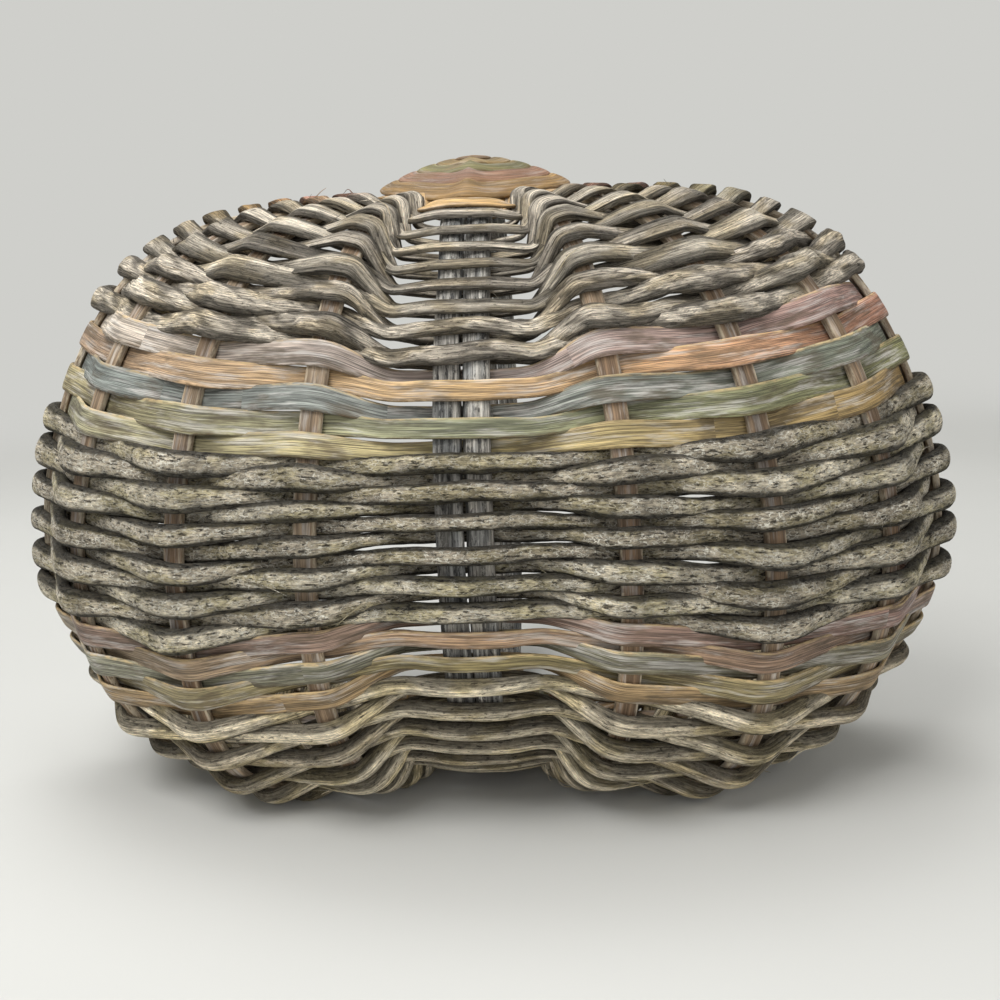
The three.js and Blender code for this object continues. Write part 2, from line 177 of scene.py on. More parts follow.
def heldPoint(line, top):
    return pointAt(line, line["length"] - held if top else held)


rodCrown = min(heldPoint(line, True)[2] for line in (spineLine, handleLine))
rodFoot = min(-heldPoint(line, False)[2] for line in (spineLine, handleLine))
rimStep = basket["hoopThickness"] / 2 + basket["seatGap"] + basket["rimThickness"] / 2
crownSeat = np.max(handleLine["points"][np.abs(handleLine["points"][:, 1]) >= basket["wrapEnd"], 2])
crownSeat = crownSeat + basket["hoopThickness"] / 2 + basket["seatGap"]  # underside of the upper eye
footSeat = rodFoot + basket["hoopThickness"] / 2 + basket["seatGap"]
basketMiddle = 500.0 * (np.array(eyeLow) + np.array(eyeHigh))
basketMiddle[2] = 1000.0 * eyeHigh[2] - crownSeat - basket["lashHeight"]
rimPlan = (90.0, basket["rimReach"], 0.0, 0.0)
plans = ribPlan + [rimPlan]


def ribOrRim(plan, side):
    angle, reach, crown, foot = plan
    kind = "rim" if plan is rimPlan else "rib"
    ends = (rodCrown - rimStep, rodFoot - rimStep if kind == "rim" else rodFoot)
    line = meridian(angle, reach, ends, (crown, foot), basket["bellyDrop"], basket["fullness"], side)
    return makeMember(line, basket[kind + "Thickness"], kind)


members = [ribOrRim(plan, -1) for plan in reversed(plans)]
members += [makeMember(spineLine, basket["hoopThickness"], "spine")]
members += [ribOrRim(plan, 1) for plan in plans]
spineIndex = len(plans)
lastMember = len(members) - 1


def memberDistance(j, f):
    m = members[j]
    f = np.asarray(f, float)
    if m["kind"] == "spine":
        below = basket["sagBelow"]
        f = np.where(f > below, f, f - basket["lowerSag"] * np.sin(np.pi * (below - f) / below))
    return m["start"] + f * (m["line"]["length"] - 2 * m["start"])


def memberPoint(j, f):
    return pointAt(members[j]["line"], memberDistance(j, f))


def ribWidthAt(line, d):
    tip = ribTip(line["angle"])
    fromTip = np.maximum(0.0, np.minimum(d, line["length"] - d) - tip)
    grown = smoothStep(fromTip / basket["ribTaper"])
    return basket["ribTipWidth"] + (basket["ribWidth"] - basket["ribTipWidth"]) * grown


def memberWidth(j, f):
    kind = members[j]["kind"]
    if kind == "rim":
        return basket["rimWidth"]
    if kind == "spine":
        return 2 * halfPair
    return float(ribWidthAt(members[j]["line"], memberDistance(j, f)))


def memberFrame(j, f):  # up the member, along the row, outwards
    nearby = 0.004  # share of the woven length
    along = unit(memberPoint(j, f + nearby) - memberPoint(j, f - nearby))
    if members[j]["kind"] == "rim":
        across = np.array([0.0, -1.0 if j == 0 else 1.0, 0.0])
    else:
        across = memberPoint(j + 1, f) - memberPoint(j - 1, f)
    across = unit(across - np.dot(across, along) * along)
    return along, across, unit(np.cross(across, along))


# the order of the rows, bottom to top
bandKeys = ("name", "kind", "rows", "rowsEach", "pitch", "room", "more", "widest", "bend", "tall", "rung")
# room: share of a row's room between the ribs, more: extra over a rib; pitch, widest, bend and tall in mm
bandTable = [
    ("bottom_eye_reed", "reed", 2, 2, 6.5, 0.95, 0.1, 8.0, 3.4, 1.6, 1.0),
    ("bottom_vine", "vine", 16, 2, 7.0, 1.1, 0.24, 8.8, 4.2, 5.0, 0.92),
    ("lower_reed", "reed", 5, 1, 5.8, 1.3, 0.2, 10.4, 3.4, 1.6, 0.9),
    ("middle_vine", "vine", 11, 2, 6.2, 1.18, 0.4, 11.0, 4.2, 5.0, 0.9),
    ("upper_reed", "reed", 5, 1, 8.5, 1.1, 0.14, 10.6, 3.4, 1.6, 0.9),
    ("top_vine", "vine", 16, 2, 5.9, 1.26, 0.3, 10.8, 1.8, 3.0, 0.62),
    ("top_eye_reed", "reed", 2, 2, 6.5, 1.1, 0.2, 10.0, 3.4, 1.6, 1.0),
]
bands = [dict(zip(bandKeys, row)) for row in bandTable]
roughVine = {  # the two thick vines below the fine ones
    "split": False, "rung": 1.0, "wander": 2.2, "rough": 1.5, "shag": 0.5, "flat": 0.6,
    "section": (38, 2.2), "fibres": 16,
}
roughNames = ("top_vine_1", "top_vine_2")
wovenLength = sum(b["rows"] * b["pitch"] for b in bands)
rowEdges = [0.0]
strands = []
for band in bands:
    for i in range(band["rows"]):
        if i % band["rowsEach"] == 0:
            many = band["rows"] > band["rowsEach"]
            name = band["name"] + "_" + str(i // band["rowsEach"] + 1) if many else band["name"]
            own = roughVine if name in roughNames else {}
            strands.append({"name": name, "band": band, "own": own, "rows": []})
        strands[-1]["rows"].append(len(rowEdges) - 1)
        rowEdges.append(rowEdges[-1] + band["pitch"] / wovenLength)
print("rows planned", len(rowEdges) - 1, "strands", len(strands))


# mesh and piece building
def gaussSmooth(values, sigma, loop=False):
    reach = int(math.ceil(3 * sigma))
    kernel = np.exp(-0.5 * (np.arange(-reach, reach + 1) / sigma) ** 2)
    kernel /= kernel.sum()
    padded = np.pad(values, ((reach, reach), (0, 0)), mode="wrap" if loop else "edge")
    return np.stack([np.convolve(column, kernel, "valid") for column in padded.T], axis=1)


def resample(columns, step, loop=False):  # first three columns are the path
    if loop:
        columns = np.vstack([columns, columns[:1]])
    s = lengthsAlong(columns[:, :3])
    count = max(8, int(round(s[-1] / step)))
    at = np.linspace(0.0, s[-1], count + 1)
    if loop:
        at = at[:-1]
    return at, columnsAt(at, s, columns)


def loopTangent(path):
    return unit(np.roll(path, -1, axis=0) - np.roll(path, 1, axis=0))


def tubeFaces(count, sides, loop, first):
    i = np.arange(count if loop else count - 1)[:, None]
    k = np.arange(sides)[None, :]
    here = i * sides
    after = (i + 1) % count * sides
    nextK = (k + 1) % sides
    quads = np.stack([here + k, here + nextK, after + nextK, after + k], axis=-1) + first
    faces = quads.reshape(-1, 4).tolist()
    if not loop:  # both ends closed
        end = first + (count - 1) * sides
        faces.append(list(range(first + sides - 1, first - 1, -1)))
        faces.append(list(range(end, end + sides)))
    return faces


materials = {}


def addObject(name, data):
    made = bpy.data.objects.new(name, data)
    bpy.context.scene.collection.objects.link(made)
    return made


class Bundle:  # collects the tubes of one piece
    def __init__(self):
        self.verts = []
        self.faces = []
        self.grain = []
        self.dye = []
        self.relief = []
        self.total = 0

    def addTube(self, rings, grain, dye, relief, loop):
        count, sides = rings.shape[:2]
        self.faces += tubeFaces(count, sides, loop, self.total)
        self.verts.append(rings.reshape(-1, 3))
        self.grain.append(grain.reshape(-1, 3))
        self.dye.append(dye.reshape(-1, 4))
        self.relief.append(relief.reshape(-1))
        self.total += count * sides

    def build(self, node, ending, slotName):
        verts = (np.vstack(self.verts) + basketMiddle) / 1000.0
        verts[:, 2] = np.maximum(verts[:, 2], 0.0)
        mesh = bpy.data.meshes.new(node + ending)
        mesh.from_pydata(verts.tolist(), [], self.faces)
        for layer, kind, field, rows in (
            ("grain", "FLOAT_VECTOR", "vector", self.grain),
            ("dye", "FLOAT_COLOR", "color", self.dye),
            ("relief", "FLOAT", "value", self.relief),
        ):
            values = np.concatenate(rows).astype(np.float32).ravel()
            mesh.attributes.new(layer, kind, "POINT").data.foreach_set(field, values)
        mesh.polygons.foreach_set("use_smooth", np.ones(len(mesh.polygons), dtype=bool))
        mesh.update()
        piece = addObject(node + ending, mesh)
        mesh.materials.append(materials[slotName])
        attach(piece, "root")
        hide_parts(node)


# materials
def addNode(tree, kind, **values):
    node = tree.nodes.new(kind)
    for key, value in values.items():
        if hasattr(node, key):
            setattr(node, key, value)
        else:
            node.inputs[key].default_value = value
    return node


def feed(tree, socket, value):  # numbers and colours are set, the rest is linked
    if isinstance(value, (int, float, tuple)):
        socket.default_value = value
    else:
        tree.links.new(value, socket)


def noiseOf(tree, vector, scale, detail, roughness):
    node = addNode(tree, "ShaderNodeTexNoise", Scale=scale, Detail=detail, Roughness=roughness)
    tree.links.new(vector, node.inputs["Vector"])
    return node.outputs["Fac"]


def grainNoise(tree, grain, along, scale, detail, roughness):  # drawn out along the strand
    node = addNode(tree, "ShaderNodeVectorMath", operation="MULTIPLY")
    tree.links.new(grain, node.inputs[0])
    node.inputs[1].default_value = (along, 1.0, 1.0)
    return noiseOf(tree, node.outputs[0], scale, detail, roughness)


def rangeOf(tree, value, low, high, outLow, outHigh):
    node = addNode(tree, "ShaderNodeMapRange", interpolation_type="SMOOTHSTEP")
    sockets = ("Value", "From Min", "From Max", "To Min", "To Max")
    for socket, given in zip(sockets, (value, low, high, outLow, outHigh)):
        feed(tree, node.inputs[socket], given)
    return node.outputs["Result"]


def mathOf(tree, operation, a, b=0.0):
    node = addNode(tree, "ShaderNodeMath", operation=operation)
    feed(tree, node.inputs[0], a)
    feed(tree, node.inputs[1], b)
    return node.outputs[0]


def mixOf(tree, blend, factor, a, b):
    node = addNode(tree, "ShaderNodeMix", data_type="RGBA", blend_type=blend)
    feed(tree, node.inputs[0], factor)
    feed(tree, node.inputs[6], a)
    feed(tree, node.inputs[7], b)
    return node.outputs[2]


def shadeBy(tree, colour, shade):  # a colour times a number
    grey = addNode(tree, "ShaderNodeCombineColor")
    for socket in grey.inputs[:3]:
        tree.links.new(shade, socket)
    return mixOf(tree, "MULTIPLY", 1.0, colour, grey.outputs[0])


def rgba(colour):
    return tuple(float(c) for c in linear(colour)) + (1.0,)


def newMaterial(name):
    materials[name] = bpy.data.materials.new(name)
    materials[name].use_nodes = True
    tree = materials[name].node_tree
    return tree, tree.nodes["Principled BSDF"]


def startMaterial(name):
    tree, shader = newMaterial(name)
    layers = ("grain", "dye", "relief")
    grain, dye, relief = [addNode(tree, "ShaderNodeAttribute", attribute_name=layer) for layer in layers]
    return tree, shader, grain.outputs["Vector"], dye, relief.outputs["Fac"]


def finishMaterial(tree, shader, colour, roughness, height, bumpDepth, specular):
    tree.links.new(colour, shader.inputs["Base Color"])
    tree.links.new(roughness, shader.inputs["Roughness"])
    bump = addNode(tree, "ShaderNodeBump", Strength=1.0, Distance=bumpDepth)
    tree.links.new(height, bump.inputs["Height"])
    tree.links.new(bump.outputs["Normal"], shader.inputs["Normal"])
    shader.inputs["Specular IOR Level"].default_value = specular


def barkMaterial(name, look):  # weathered bark: fine mottle, lichen lines and flecks, dark pits, and painted shade in the creases between rows
    tree, shader, grain, dye, relief = startMaterial(name)
    mottle = grainNoise(tree, grain, look["mottleLong"], look["mottleScale"], 6.0, 0.72)
    fibre = grainNoise(tree, grain, look["fibreLong"], look["fibreScale"], 4.0, 0.65)
    patch = grainNoise(tree, grain, 0.4, 0.13, 2.0, 0.5)
    fleck = grainNoise(tree, grain, 0.6, look["fleckScale"], 5.0, 0.75)
    curl = grainNoise(tree, grain, 0.5, 0.5, 2.0, 0.45)
    pit = grainNoise(tree, grain, 0.3, look["pitScale"], 4.0, 0.7)
    shade = rangeOf(tree, mottle, 0.36, 0.64, look["mottleDark"], look["mottlePale"])
    colour = shadeBy(tree, dye.outputs["Color"], shade)
    fine = rangeOf(tree, fibre, 0.34, 0.66, look["fibreDark"], look["fibrePale"])
    colour = shadeBy(tree, colour, fine)
    tintMask = rangeOf(tree, patch, 0.46, 0.6, 0.0, 0.75)
    colour = mixOf(tree, "MULTIPLY", tintMask, colour, rgba(look["tint"]))
    patchMask = rangeOf(tree, patch, 0.4, 0.62, 1.0, 0.45)
    fleckMask = rangeOf(tree, fleck, look["fleckFrom"], look["fleckFrom"] + 0.06, 0.0, look["fleckAmount"])
    away = mathOf(tree, "ABSOLUTE", mathOf(tree, "SUBTRACT", curl, 0.5))
    lineMask = rangeOf(tree, away, 0.006, 0.028, look["lineAmount"], 0.0)
    pale = mathOf(tree, "MULTIPLY", mathOf(tree, "MAXIMUM", fleckMask, lineMask), patchMask)
    colour = mixOf(tree, "MIX", pale, colour, rgba(look["fleck"]))
    pitMask = rangeOf(tree, pit, look["pitFrom"], look["pitFrom"] + 0.06, look["pitAmount"], 0.0)
    colour = mixOf(tree, "MIX", pitMask, colour, rgba(look["dark"]))
    wearAndShade = rangeOf(tree, relief, 0.05, 0.8, look["crease"], 1.22)  # painted shade in the creases along a vine's sides; elsewhere darker in the relief's grooves and paler on its ridges
    colour = shadeBy(tree, colour, wearAndShade)
    height = mathOf(tree, "ADD", mathOf(tree, "MULTIPLY", mottle, 0.6), mathOf(tree, "MULTIPLY", fibre, 0.5))
    height = mathOf(tree, "SUBTRACT", height, mathOf(tree, "MULTIPLY", pitMask, 0.4))
    height = mathOf(tree, "ADD", height, mathOf(tree, "MULTIPLY", pale, 0.3))
    rough = rangeOf(tree, fibre, 0.3, 0.7, 0.8, 0.94)
    finishMaterial(tree, shader, colour, rough, height, look["bump"], 0.25)


def reedMaterial(name, look):  # dyed split reed, fine lengthwise fibre, dust on the face, pale upper edges, partly rubbed wear and partly painted highlight, and painted shade on the lower edges where the under-edge colour is dark
    tree, shader, grain, dye, relief = startMaterial(name)
    fibre = grainNoise(tree, grain, 0.02, look["fibreScale"], 4.0, 0.6)
    broad = grainNoise(tree, grain, 0.04, look["broadScale"], 3.0, 0.5)
    stain = grainNoise(tree, grain, 0.3, 0.17, 3.0, 0.6)
    dust = grainNoise(tree, grain, 0.12, 0.34, 4.0, 0.65)
    scuff = grainNoise(tree, grain, 0.25, 0.9, 4.0, 0.65)
    shade = rangeOf(tree, fibre, 0.36, 0.64, look["fibreDark"], look["fibrePale"])
    colour = shadeBy(tree, dye.outputs["Color"], shade)
    band = rangeOf(tree, broad, 0.36, 0.64, 0.72, 1.2)
    colour = shadeBy(tree, colour, band)
    stainMask = rangeOf(tree, stain, 0.5, 0.66, 0.0, look["stainAmount"])
    colour = mixOf(tree, "MIX", stainMask, colour, rgba(look["stain"]))
    dustMask = mathOf(tree, "MULTIPLY", rangeOf(tree, dust, 0.48, 0.66, 0.0, look["dustAmount"]), shade)
    colour = mixOf(tree, "MIX", dustMask, colour, rgba(look["dust"]))
    scuffMask = rangeOf(tree, scuff, 0.42, 0.6, 0.15, 1.0)
    # painted highlight, partly rubbed wear: the upper edge turns towards the edge colour
    upper = rangeOf(tree, dye.outputs["Alpha"], 0.84, 0.97, 0.0, look["edgeAmount"])
    colour = mixOf(tree, "MIX", mathOf(tree, "MULTIPLY", upper, scuffMask), colour, rgba(look["edge"]))
    # painted shade: the lower edge turns towards the under-edge colour where that is dark
    lower = rangeOf(tree, dye.outputs["Alpha"], 0.03, 0.16, look["edgeAmount"], 0.0)
    colour = mixOf(tree, "MIX", mathOf(tree, "MULTIPLY", lower, scuffMask), colour, rgba(look["underEdge"]))
    # darker and paler lanes from the relief; these strands carry no painted crease shade
    wearAndShade = rangeOf(tree, relief, 0.15, 0.85, 0.68, 1.16)
    colour = shadeBy(tree, colour, wearAndShade)
    height = mathOf(tree, "ADD", mathOf(tree, "MULTIPLY", fibre, 0.7), mathOf(tree, "MULTIPLY", broad, 0.5))
    rough = rangeOf(tree, scuff, 0.3, 0.7, look["roughness"] - 0.1, look["roughness"] + 0.12)
    finishMaterial(tree, shader, colour, rough, height, look["bump"], 0.4)


# sections
def roundSection(sides, squareness):
    phi = 2 * math.pi * (np.arange(sides) + 0.5) / sides
    c, s = np.cos(phi), np.sin(phi)
    power = 2.0 / squareness
    return np.sign(c) * np.abs(c) ** power, np.sign(s) * np.abs(s) ** power


def sweep(bundle, s, path, normals, width, thickness, shape, grainStart, dyeRows, relief,
          loop=False, ends=0.0, crease=0.0):
    tangent = loopTangent(path) if loop else unit(np.gradient(path, axis=0))
    n = unit(normals - np.sum(normals * tangent, axis=1, keepdims=True) * tangent)
    b = np.cross(tangent, n)
    a0, b0 = roundSection(*shape)
    v = (np.arange(len(a0)) + 0.5) / len(a0)
    lump, shown = relief(s[:, None], v[None, :])
    # painted shade: the tone drops along both sides of the section, where a strand meets the rows beside it
    shown = shown - np.reshape(crease, (-1, 1)) * smoothStep((np.abs(a0) - 0.45) / 0.5)[None, :]
    half = np.broadcast_to(width, len(s))[:, None] / 2
    thick = np.broadcast_to(thickness, len(s))[:, None] / 2
    if ends > 0.0:  # whittled ends
        near = np.minimum(s, s[-1] - s)[:, None]
        shrink = 0.55 + 0.45 * smoothStep(near / ends)
        half = half * shrink
        thick = thick * shrink
    aa = a0[None, :] * half
    bb = b0[None, :] * thick
    size = np.sqrt(aa * aa + bb * bb)
    push = 1.0 + lump / np.maximum(size, 0.4)
    aa = aa * push
    bb = bb * push
    rings = path[:, None, :] + b[:, None, :] * aa[:, :, None] + n[:, None, :] * bb[:, :, None]
    lengthwise = np.broadcast_to(s[:, None] + grainStart, aa.shape)
    grain = np.stack([lengthwise, aa, bb + 0.37 * grainStart], axis=-1)
    dye = np.empty(aa.shape + (4,))
    dye[:, :, :3] = dyeRows[:, None, :]
    # the alpha tells the world-upper edge from the lower one, for the painted edge highlight and shade
    dye[:, :, 3] = 0.5 + 0.5 * a0[None, :] * np.where(b[:, 2] > 0, 1.0, -1.0)[:, None]  # 1 on the upper edge
    bundle.addTube(rings, grain, dye, np.clip(shown, 0.0, 1.0), loop)


# the weaving
weave = {
    "step": 1.1,  # mm between sections
    "press": 0.38,  # share of its thickness that a vine keeps where it turns round the rim
    "strap": 2.0,  # rows that it covers there
    "strapWidest": 1.3,  # times the widest of its band
    "rimGap": 0.3,  # mm
    "rimBend": 1.4,
    "turnSteps": 7,
    "tuck": 0.8,  # half turns of a strand's end round the rim
    "rung": 25.0,  # mm, half the straight part over the spine
    "rungShare": 0.74,  # and at most this share of the way to the next rib
    "rungPast": 2.0,  # and at least so far past the rods, mm
    "climb": 0.55,  # share of the lift that is left at a rung's end
    "clear": 0.4,  # mm beside a rib
    "settle": {"vine": 0.7, "reed": 0.45},  # mm off a rib
    "spineSettle": 0.6,  # share of that on the spine
    "tallest": 0.8,  # share of a row's room that a vine may be thick
    "wander": 1.1,  # mm, how far a row strays
    "strayLong": 47.0,  # mm
    "strayShort": 19.0,
}


def rowMiddle(row):
    return (rowEdges[row] + rowEdges[row + 1]) / 2


def passes(row, j):
    return 1 if (row + j) % 2 == 0 else -1


def strandControls(strand, turnsRight):
    kind = strand["band"]["kind"]
    thickness = strand["band"]["tall"]
    pressed = thickness * (weave["press"] if kind == "vine" else 1.0)
    settle = weave["settle"][kind]
    turnMember = lastMember if turnsRight else 0
    outbound = 1 if turnsRight else -1
    controls = []

    def roomAt(row, j):
        return np.linalg.norm(memberPoint(j, rowEdges[row + 1]) - memberPoint(j, rowEdges[row]))

    def add(point, normal, along, room, row, over, onRim, onSpine):
        controls.append(np.concatenate([point, normal, along, [room, row, over, onRim, onSpine]]))

    def addRow(row, direction):
        f = rowMiddle(row)
        facing = passes(row, turnMember)
        for step in range(lastMember + 1):
            j = step if direction > 0 else lastMember - step
            m = members[j]
            along, across, out = memberFrame(j, f)
            half = memberWidth(j, f) / 2 + weave["clear"]
            room = roomAt(row, j)
            tall = min(thickness, weave["tallest"] * room) if kind == "vine" else thickness
            onSpine = m["kind"] == "spine"
            onRim = m["kind"] == "rim"
            lift = m["thickness"] / 2 + tall / 2 + settle * (weave["spineSettle"] if onSpine else 1.0)
            stops = [(-half, 1.0), (half, 1.0)]
            if onSpine:  # a straight rung, then a steep climb to the next rib
                nearest = np.linalg.norm(memberPoint(j + 1, f) - memberPoint(j, f))
                rung = max(min(weave["rung"], weave["rungShare"] * nearest), half + weave["rungPast"])
                stops = [(-rung, weave["climb"]), (-half, 1.0), (half, 1.0), (rung, weave["climb"])]
            if onRim:  # its outer side belongs to the turn
                lift = m["thickness"] / 2 + pressed / 2 + weave["rimGap"]
                stops = [(half if step == 0 else -half, 1.0)]
            for offset, share in stops:
                over = passes(row, j) * share
                seat = memberPoint(j, f) + across * (offset * direction) + out * (over * lift)
                add(seat, out * facing, along, room, row, over, float(onRim), float(onSpine))

    def addTurn(row, nextRow, atRight, first, last):  # round the rim, in half turns
        member = lastMember if atRight else 0
        facing = passes(row, turnMember)
        for share in np.linspace(first, last, weave["turnSteps"]):
            turn = share * math.pi
            f = rowMiddle(row) * (1 - share) + rowMiddle(nextRow) * share
            along, across, out = memberFrame(member, f)
            beyond = across if atRight else -across
            side = out * (facing * math.cos(turn))
            outward = side + beyond * math.sin(turn)
            centre = memberPoint(member, f) + side * (members[member]["thickness"] / 2)
            centre = centre + beyond * (memberWidth(member, f) / 2)
            centre = centre + outward * (weave["rimGap"] + pressed / 2)
            add(centre, outward, along, roomAt(row, member), row + share, 0.5, 1.0, 0.0)

    rows = strand["rows"]
    addTurn(rows[0], rows[0], not turnsRight, weave["tuck"], 0.0)
    addRow(rows[0], outbound)
    if len(rows) > 1:
        addTurn(rows[0], rows[1], turnsRight, 0.0, 1.0)
        addRow(rows[1], -outbound)
    endsRight = turnsRight if len(rows) == 1 else not turnsRight
    addTurn(rows[-1], rows[-1], endsRight, 0.0, weave["tuck"])
    return np.array(controls)


def strandPath(strand, turnsRight):
    form = {**strand["band"], **strand["own"]}
    wander = weave["wander"] * form.get("wander", 1.0)
    s, rows = resample(strandControls(strand, turnsRight), weave["step"])
    smooth = gaussSmooth(rows, form["bend"] / weave["step"])
    onRim, onSpine = smooth[:, 12:13], smooth[:, 13]
    smooth = smooth * (1 - onRim) + gaussSmooth(rows, weave["rimBend"] / weave["step"]) * onRim
    path, normals, along = smooth[:, 0:3], smooth[:, 3:6], unit(smooth[:, 6:9])
    room, row, over = smooth[:, 9], rows[:, 10], smooth[:, 11]
    stray = softNoise(s / weave["strayLong"], row * 0.3, 11)
    stray = stray + 0.5 * softNoise(s / weave["strayShort"], row * 0.6, 12)
    path = path + along * (wander * stray)[:, None] * (1 - onRim)
    s = lengthsAlong(path)
    width = np.minimum(room * (form["room"] + form["more"] * np.abs(over)), form["widest"])
    width = width * (1 - (1 - form["rung"]) * onSpine)
    strap = np.minimum(weave["strap"] * room, weave["strapWidest"] * form["widest"])
    width = width + onRim[:, 0] * (strap - width)
    return s, path, normals, width, along, onRim[:, 0]


def vineRelief(seed, rough, shag):
    def relief(s, v):
        twist = s / 90.0
        broad = softNoise(s / 26.0, (v + twist) * 3, seed, 3)
        ridge = softNoise(s / 11.0, (v + twist) * 7, seed + 1, 7)
        flake = softNoise(s / 3.6, (v + twist) * 9, seed + 2, 9)
        knots = np.maximum(0.0, softNoise(s / 33.0, v * 2, seed + 3, 2) - 0.55) * 2.0
        strip = softNoise(s / 7.0, (v + twist) * 13, seed + 4, 13)  # bark that peels in narrow strips
        lump = rough * (0.34 * broad + 0.26 * ridge + 0.13 * flake + 0.8 * knots) + shag * strip
        return lump, 0.55 + 0.14 * ridge + 0.12 * flake + 0.08 * knots + 0.7 * shag * strip

    return relief


def splitRelief(seed, rough):  # split vine: long grooves
    def relief(s, v):
        lane = softNoise(s / 70.0, v * 9, seed, 9)
        groove = softNoise(s / 30.0, v * 17, seed + 1, 17)
        broad = softNoise(s / 30.0, v * 3, seed + 2, 3)
        lump = rough * (0.4 * lane + 0.24 * groove + 0.2 * broad)
        return lump, 0.52 + 0.3 * lane + 0.3 * groove

    return relief


def evenRelief(s, v):
    even = 0.0 * (s + v)
    return even, even + 0.5


def reedRelief(seed):
    def relief(s, v):
        lane = softNoise(s / 80.0, v * 11, seed, 11)
        edge = softNoise(s / 14.0, v * 2, seed + 1, 2)
        return 0.05 * lane + 0.09 * edge, 0.5 + 0.35 * lane + 0.12 * edge

    return relief


# crease: how dark the painted shade in the side creases and the relief's grooves gets
barkLook = {
    "mottleLong": 0.22, "mottleScale": 1.5, "mottleDark": 0.62, "mottlePale": 1.46, "fibreLong": 0.035,
    "fibreScale": 1.4, "fibreDark": 0.44, "fibrePale": 1.4, "tint": (222, 216, 188), "fleck": (214, 208, 188),
    "fleckScale": 1.2, "fleckFrom": 0.58, "fleckAmount": 0.6, "lineAmount": 0.3, "dark": (44, 37, 28),
    "pitScale": 0.9, "pitFrom": 0.38, "pitAmount": 0.7, "crease": 0.26, "bump": 0.0008,
}

vineLooks = {
    "bottom_vine": {
        "slot": "smooth_vine",
        "colours": [(206, 194, 168), (186, 173, 150), (218, 206, 180), (194, 180, 156)],
        "rough": 0.5, "flat": 0.86,
        "material": dict(barkLook, mottlePale=1.3, pitFrom=0.36),
    },
    "middle_vine": {
        "slot": "bark_vine",
        "colours": [(184, 174, 154), (162, 152, 134), (198, 188, 166), (172, 164, 144)],
        "rough": 0.75, "flat": 0.84,
        "material": dict(
            barkLook, mottleLong=0.35, mottleScale=1.0, mottleDark=0.5, fibreLong=0.06, fibreScale=2.4,
            fibreDark=0.72, fibrePale=1.24, tint=(212, 210, 184), fleck=(226, 221, 206), fleckScale=0.9,
            # a low crease gives deep painted shade between the rows
            fleckFrom=0.54, fleckAmount=0.8, lineAmount=1.0, dark=(32, 27, 20), pitAmount=0.85, crease=0.14,
            bump=0.001,
        ),
    },
    "top_vine": {
        "slot": "split_vine",
        "colours": [(212, 201, 183), (194, 183, 166), (222, 211, 191), (202, 190, 170)],
        "split": True, "rough": 1.15, "flat": 0.32, "section": (38, 3.3),
        "material": dict(
            barkLook, mottleLong=0.14, mottleScale=1.6, mottlePale=1.18, fibreLong=0.022, fibreScale=2.1,
            fibreDark=0.36, tint=(224, 217, 198), fleck=(214, 208, 194), fleckScale=1.4, fleckAmount=0.45,
            dark=(46, 38, 30), pitScale=1.1, pitFrom=0.35, pitAmount=0.6, bump=0.0016,
        ),
    },
}
vineBody = {  # what vines share, unless their own values say otherwise
    "split": False, "shag": 0.0, "section": (22, 2.2), "fibres": 6,  # section: sides, squareness
    "thinnest": 1.9, "thickest": 6.2, "whittled": 5.0,  # mm
    "width": (0.87, 0.26), "tone": (0.86, 0.28),  # least, and what chance adds
    "crease": (0.7, 0.4),  # depth of the painted shade along both sides of a vine, and what the rim presses out of it
    "bleach": 0.26, "bleachTo": 36.0, "blend": 12.0, "toneSpan": 140.0,
}

sideDyes = {  # dyed on both sides of the upper eye, from so far out: left, right, mm
    "top_vine_5": ((176, 152, 108), (164, 154, 128), 92.0),
    "top_vine_6": ((196, 156, 98), (158, 146, 108), 74.0),
    "top_vine_7": ((200, 148, 92), (160, 142, 98), 50.0),
    "top_vine_8": ((194, 140, 118), (182, 132, 110), 36.0),
}

# edge: painted highlight colour of a reed's upper edge, partly rubbed wear; underEdge: painted shade colour
# of its lower edge
reedLook = {
    "fibreScale": 3.2, "broadScale": 0.8, "fibreDark": 0.4, "fibrePale": 1.46, "stain": (84, 71, 52),
    "stainAmount": 0.6, "dust": (214, 210, 204), "dustAmount": 0.5, "edge": (216, 188, 138),
    "edgeAmount": 0.68, "underEdge": (92, 74, 50), "roughness": 0.58, "bump": 0.0004,
}

reedBody = {"section": (20, 3.2), "whittled": 4.0, "swell": 0.8, "reach": 160.0}  # dyed so far out, mm

reedLooks = {  # slot, then its dye on the left, in the middle and on the right
    "bottom_eye_reed": ("reed_ochre", [(176, 138, 84), (168, 130, 80), (180, 142, 86)]),
    "lower_reed_1": ("reed_tan", [(168, 138, 94), (182, 148, 98), (164, 134, 92)]),
    "lower_reed_2": ("reed_olive", [(138, 126, 92), (168, 150, 94), (140, 126, 88)]),
    "lower_reed_3": ("reed_sage", [(132, 130, 108), (134, 130, 102), (132, 124, 96)]),
    "lower_reed_4": ("reed_brown", [(144, 126, 98), (186, 148, 110), (146, 116, 96)]),
    "lower_reed_5": ("reed_pink", [(142, 114, 96), (158, 128, 108), (152, 116, 102)]),
    "upper_reed_1": ("reed_mustard", [(162, 157, 122), (186, 167, 110), (176, 141, 80)]),
    "upper_reed_2": ("reed_green", [(164, 151, 108), (148, 150, 112), (128, 127, 78)]),
    "upper_reed_3": ("reed_blue", [(130, 137, 130), (122, 125, 118), (124, 130, 108)]),
    "upper_reed_4": ("reed_rust", [(182, 150, 120), (214, 172, 112), (190, 128, 100)]),
    "upper_reed_5": ("reed_mauve", [(192, 178, 158), (180, 160, 148), (176, 132, 118)]),
    "top_eye_reed": ("reed_ochre", [(200, 152, 114), (206, 162, 94), (196, 150, 98)]),
}

